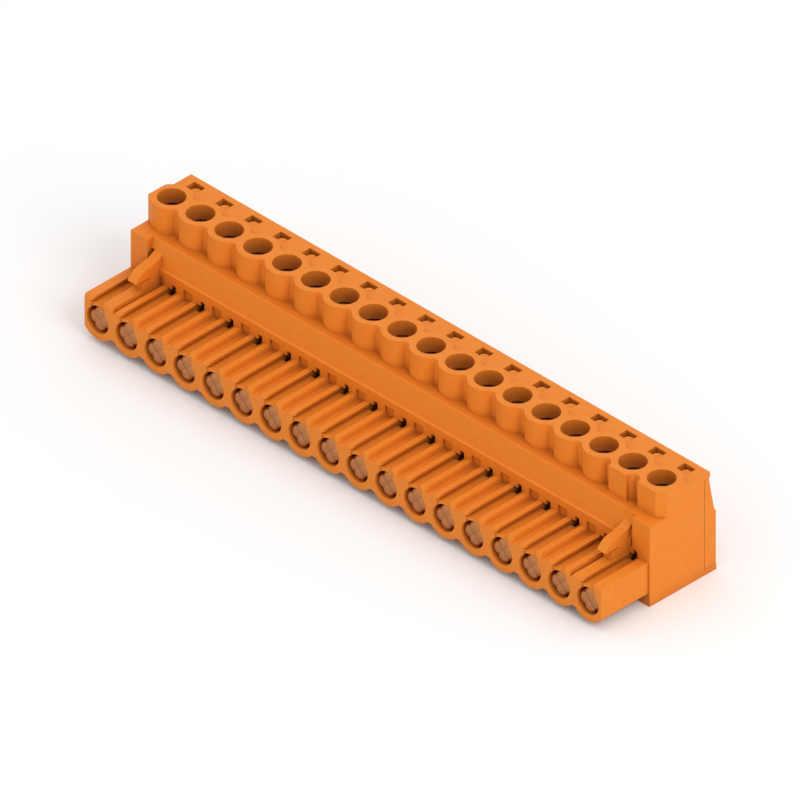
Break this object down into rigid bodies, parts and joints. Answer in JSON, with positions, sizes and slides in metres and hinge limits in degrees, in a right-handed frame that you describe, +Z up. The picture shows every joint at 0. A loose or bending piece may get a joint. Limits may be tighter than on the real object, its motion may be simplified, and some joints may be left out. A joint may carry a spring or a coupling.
{
  "type": "pluggable terminal block",
  "caption": "Orange pluggable terminal block: a row of screw clamp tubes above round mating tubes, with a latch hook near each end.",
  "frame": {"origin": "middle of the bounding box, on its underside", "axes": "+X along the row of poles to the right, +Y towards the wire side, +Z up along the clamping screws"},
  "size_m": [0.0914, 0.02, 0.016],
  "materials": {
    "orange_plastic": "fine satin moulding, glass-filled polyamide",
    "tinned_contact": "tinned copper alloy sheet, bright",
    "screw_steel": "zinc-plated steel, satin",
    "yoke_steel": "zinc-plated steel, satin"
  },
  "bodies": {
    "housing_body": {"housing": "orange_plastic", "rear_cover": "orange_plastic", "contact_01": "tinned_contact", "contact_02": "tinned_contact", "contact_03": "tinned_contact", "contact_04": "tinned_contact", "contact_05": "tinned_contact", "contact_06": "tinned_contact", "contact_07": "tinned_contact", "contact_08": "tinned_contact", "contact_09": "tinned_contact", "contact_10": "tinned_contact", "contact_11": "tinned_contact", "contact_12": "tinned_contact", "contact_13": "tinned_contact", "contact_14": "tinned_contact", "contact_15": "tinned_contact", "contact_16": "tinned_contact", "contact_17": "tinned_contact", "contact_18": "tinned_contact"},
    "screw_body_01": {"screw_01": "screw_steel"},
    "yoke_body_01": {"clamp_yoke_01": "yoke_steel"},
    "screw_body_02": {"screw_02": "screw_steel"},
    "yoke_body_02": {"clamp_yoke_02": "yoke_steel"},
    "screw_body_03": {"screw_03": "screw_steel"},
    "yoke_body_03": {"clamp_yoke_03": "yoke_steel"},
    "screw_body_04": {"screw_04": "screw_steel"},
    "yoke_body_04": {"clamp_yoke_04": "yoke_steel"},
    "screw_body_05": {"screw_05": "screw_steel"},
    "yoke_body_05": {"clamp_yoke_05": "yoke_steel"},
    "screw_body_06": {"screw_06": "screw_steel"},
    "yoke_body_06": {"clamp_yoke_06": "yoke_steel"},
    "screw_body_07": {"screw_07": "screw_steel"},
    "yoke_body_07": {"clamp_yoke_07": "yoke_steel"},
    "screw_body_08": {"screw_08": "screw_steel"},
    "yoke_body_08": {"clamp_yoke_08": "yoke_steel"},
    "screw_body_09": {"screw_09": "screw_steel"},
    "yoke_body_09": {"clamp_yoke_09": "yoke_steel"},
    "screw_body_10": {"screw_10": "screw_steel"},
    "yoke_body_10": {"clamp_yoke_10": "yoke_steel"},
    "screw_body_11": {"screw_11": "screw_steel"},
    "yoke_body_11": {"clamp_yoke_11": "yoke_steel"},
    "screw_body_12": {"screw_12": "screw_steel"},
    "yoke_body_12": {"clamp_yoke_12": "yoke_steel"},
    "screw_body_13": {"screw_13": "screw_steel"},
    "yoke_body_13": {"clamp_yoke_13": "yoke_steel"},
    "screw_body_14": {"screw_14": "screw_steel"},
    "yoke_body_14": {"clamp_yoke_14": "yoke_steel"},
    "screw_body_15": {"screw_15": "screw_steel"},
    "yoke_body_15": {"clamp_yoke_15": "yoke_steel"},
    "screw_body_16": {"screw_16": "screw_steel"},
    "yoke_body_16": {"clamp_yoke_16": "yoke_steel"},
    "screw_body_17": {"screw_17": "screw_steel"},
    "yoke_body_17": {"clamp_yoke_17": "yoke_steel"},
    "screw_body_18": {"screw_18": "screw_steel"},
    "yoke_body_18": {"clamp_yoke_18": "yoke_steel"}
  },
  "joints": [
    {"name": "screw_01_turn", "type": "hinge", "parent": "housing_body", "child": "screw_body_01", "pos_m": [-0.04327, 0.00303, 0.012], "axis": [0, 0, -1], "range_deg": [0, 1920]},
    {"name": "yoke_01_lift", "type": "slide", "parent": "housing_body", "child": "yoke_body_01", "axis": [0, 0, 1], "range_m": [0, 0.0024]},
    {"name": "screw_02_turn", "type": "hinge", "parent": "housing_body", "child": "screw_body_02", "pos_m": [-0.03819, 0.00303, 0.012], "axis": [0, 0, -1], "range_deg": [0, 1920]},
    {"name": "yoke_02_lift", "type": "slide", "parent": "housing_body", "child": "yoke_body_02", "axis": [0, 0, 1], "range_m": [0, 0.0024]},
    {"name": "screw_03_turn", "type": "hinge", "parent": "housing_body", "child": "screw_body_03", "pos_m": [-0.03311, 0.00303, 0.012], "axis": [0, 0, -1], "range_deg": [0, 1920]},
    {"name": "yoke_03_lift", "type": "slide", "parent": "housing_body", "child": "yoke_body_03", "axis": [0, 0, 1], "range_m": [0, 0.0024]},
    {"name": "screw_04_turn", "type": "hinge", "parent": "housing_body", "child": "screw_body_04", "pos_m": [-0.02803, 0.00303, 0.012], "axis": [0, 0, -1], "range_deg": [0, 1920]},
    {"name": "yoke_04_lift", "type": "slide", "parent": "housing_body", "child": "yoke_body_04", "axis": [0, 0, 1], "range_m": [0, 0.0024]},
    {"name": "screw_05_turn", "type": "hinge", "parent": "housing_body", "child": "screw_body_05", "pos_m": [-0.02295, 0.00303, 0.012], "axis": [0, 0, -1], "range_deg": [0, 1920]},
    {"name": "yoke_05_lift", "type": "slide", "parent": "housing_body", "child": "yoke_body_05", "axis": [0, 0, 1], "range_m": [0, 0.0024]},
    {"name": "screw_06_turn", "type": "hinge", "parent": "housing_body", "child": "screw_body_06", "pos_m": [-0.01787, 0.00303, 0.012], "axis": [0, 0, -1], "range_deg": [0, 1920]},
    {"name": "yoke_06_lift", "type": "slide", "parent": "housing_body", "child": "yoke_body_06", "axis": [0, 0, 1], "range_m": [0, 0.0024]},
    {"name": "screw_07_turn", "type": "hinge", "parent": "housing_body", "child": "screw_body_07", "pos_m": [-0.01279, 0.00303, 0.012], "axis": [0, 0, -1], "range_deg": [0, 1920]},
    {"name": "yoke_07_lift", "type": "slide", "parent": "housing_body", "child": "yoke_body_07", "axis": [0, 0, 1], "range_m": [0, 0.0024]},
    {"name": "screw_08_turn", "type": "hinge", "parent": "housing_body", "child": "screw_body_08", "pos_m": [-0.00771, 0.00303, 0.012], "axis": [0, 0, -1], "range_deg": [0, 1920]},
    {"name": "yoke_08_lift", "type": "slide", "parent": "housing_body", "child": "yoke_body_08", "axis": [0, 0, 1], "range_m": [0, 0.0024]},
    {"name": "screw_09_turn", "type": "hinge", "parent": "housing_body", "child": "screw_body_09", "pos_m": [-0.00263, 0.00303, 0.012], "axis": [0, 0, -1], "range_deg": [0, 1920]},
    {"name": "yoke_09_lift", "type": "slide", "parent": "housing_body", "child": "yoke_body_09", "axis": [0, 0, 1], "range_m": [0, 0.0024]},
    {"name": "screw_10_turn", "type": "hinge", "parent": "housing_body", "child": "screw_body_10", "pos_m": [0.00245, 0.00303, 0.012], "axis": [0, 0, -1], "range_deg": [0, 1920]},
    {"name": "yoke_10_lift", "type": "slide", "parent": "housing_body", "child": "yoke_body_10", "axis": [0, 0, 1], "range_m": [0, 0.0024]},
    {"name": "screw_11_turn", "type": "hinge", "parent": "housing_body", "child": "screw_body_11", "pos_m": [0.00753, 0.00303, 0.012], "axis": [0, 0, -1], "range_deg": [0, 1920]},
    {"name": "yoke_11_lift", "type": "slide", "parent": "housing_body", "child": "yoke_body_11", "axis": [0, 0, 1], "range_m": [0, 0.0024]},
    {"name": "screw_12_turn", "type": "hinge", "parent": "housing_body", "child": "screw_body_12", "pos_m": [0.01261, 0.00303, 0.012], "axis": [0, 0, -1], "range_deg": [0, 1920]},
    {"name": "yoke_12_lift", "type": "slide", "parent": "housing_body", "child": "yoke_body_12", "axis": [0, 0, 1], "range_m": [0, 0.0024]},
    {"name": "screw_13_turn", "type": "hinge", "parent": "housing_body", "child": "screw_body_13", "pos_m": [0.01769, 0.00303, 0.012], "axis": [0, 0, -1], "range_deg": [0, 1920]},
    {"name": "yoke_13_lift", "type": "slide", "parent": "housing_body", "child": "yoke_body_13", "axis": [0, 0, 1], "range_m": [0, 0.0024]},
    {"name": "screw_14_turn", "type": "hinge", "parent": "housing_body", "child": "screw_body_14", "pos_m": [0.02277, 0.00303, 0.012], "axis": [0, 0, -1], "range_deg": [0, 1920]},
    {"name": "yoke_14_lift", "type": "slide", "parent": "housing_body", "child": "yoke_body_14", "axis": [0, 0, 1], "range_m": [0, 0.0024]},
    {"name": "screw_15_turn", "type": "hinge", "parent": "housing_body", "child": "screw_body_15", "pos_m": [0.02785, 0.00303, 0.012], "axis": [0, 0, -1], "range_deg": [0, 1920]},
    {"name": "yoke_15_lift", "type": "slide", "parent": "housing_body", "child": "yoke_body_15", "axis": [0, 0, 1], "range_m": [0, 0.0024]},
    {"name": "screw_16_turn", "type": "hinge", "parent": "housing_body", "child": "screw_body_16", "pos_m": [0.03293, 0.00303, 0.012], "axis": [0, 0, -1], "range_deg": [0, 1920]},
    {"name": "yoke_16_lift", "type": "slide", "parent": "housing_body", "child": "yoke_body_16", "axis": [0, 0, 1], "range_m": [0, 0.0024]},
    {"name": "screw_17_turn", "type": "hinge", "parent": "housing_body", "child": "screw_body_17", "pos_m": [0.03801, 0.00303, 0.012], "axis": [0, 0, -1], "range_deg": [0, 1920]},
    {"name": "yoke_17_lift", "type": "slide", "parent": "housing_body", "child": "yoke_body_17", "axis": [0, 0, 1], "range_m": [0, 0.0024]},
    {"name": "screw_18_turn", "type": "hinge", "parent": "housing_body", "child": "screw_body_18", "pos_m": [0.04309, 0.00303, 0.012], "axis": [0, 0, -1], "range_deg": [0, 1920]},
    {"name": "yoke_18_lift", "type": "slide", "parent": "housing_body", "child": "yoke_body_18", "axis": [0, 0, 1], "range_m": [0, 0.0024]}
  ],
  "couplings": [
    {"joint": "screw_01_turn", "follows": "yoke_01_lift", "rad_per_m": 13963},
    {"joint": "screw_02_turn", "follows": "yoke_02_lift", "rad_per_m": 13963},
    {"joint": "screw_03_turn", "follows": "yoke_03_lift", "rad_per_m": 13963},
    {"joint": "screw_04_turn", "follows": "yoke_04_lift", "rad_per_m": 13963},
    {"joint": "screw_05_turn", "follows": "yoke_05_lift", "rad_per_m": 13963},
    {"joint": "screw_06_turn", "follows": "yoke_06_lift", "rad_per_m": 13963},
    {"joint": "screw_07_turn", "follows": "yoke_07_lift", "rad_per_m": 13963},
    {"joint": "screw_08_turn", "follows": "yoke_08_lift", "rad_per_m": 13963},
    {"joint": "screw_09_turn", "follows": "yoke_09_lift", "rad_per_m": 13963},
    {"joint": "screw_10_turn", "follows": "yoke_10_lift", "rad_per_m": 13963},
    {"joint": "screw_11_turn", "follows": "yoke_11_lift", "rad_per_m": 13963},
    {"joint": "screw_12_turn", "follows": "yoke_12_lift", "rad_per_m": 13963},
    {"joint": "screw_13_turn", "follows": "yoke_13_lift", "rad_per_m": 13963},
    {"joint": "screw_14_turn", "follows": "yoke_14_lift", "rad_per_m": 13963},
    {"joint": "screw_15_turn", "follows": "yoke_15_lift", "rad_per_m": 13963},
    {"joint": "screw_16_turn", "follows": "yoke_16_lift", "rad_per_m": 13963},
    {"joint": "screw_17_turn", "follows": "yoke_17_lift", "rad_per_m": 13963},
    {"joint": "screw_18_turn", "follows": "yoke_18_lift", "rad_per_m": 13963}
  ]
}
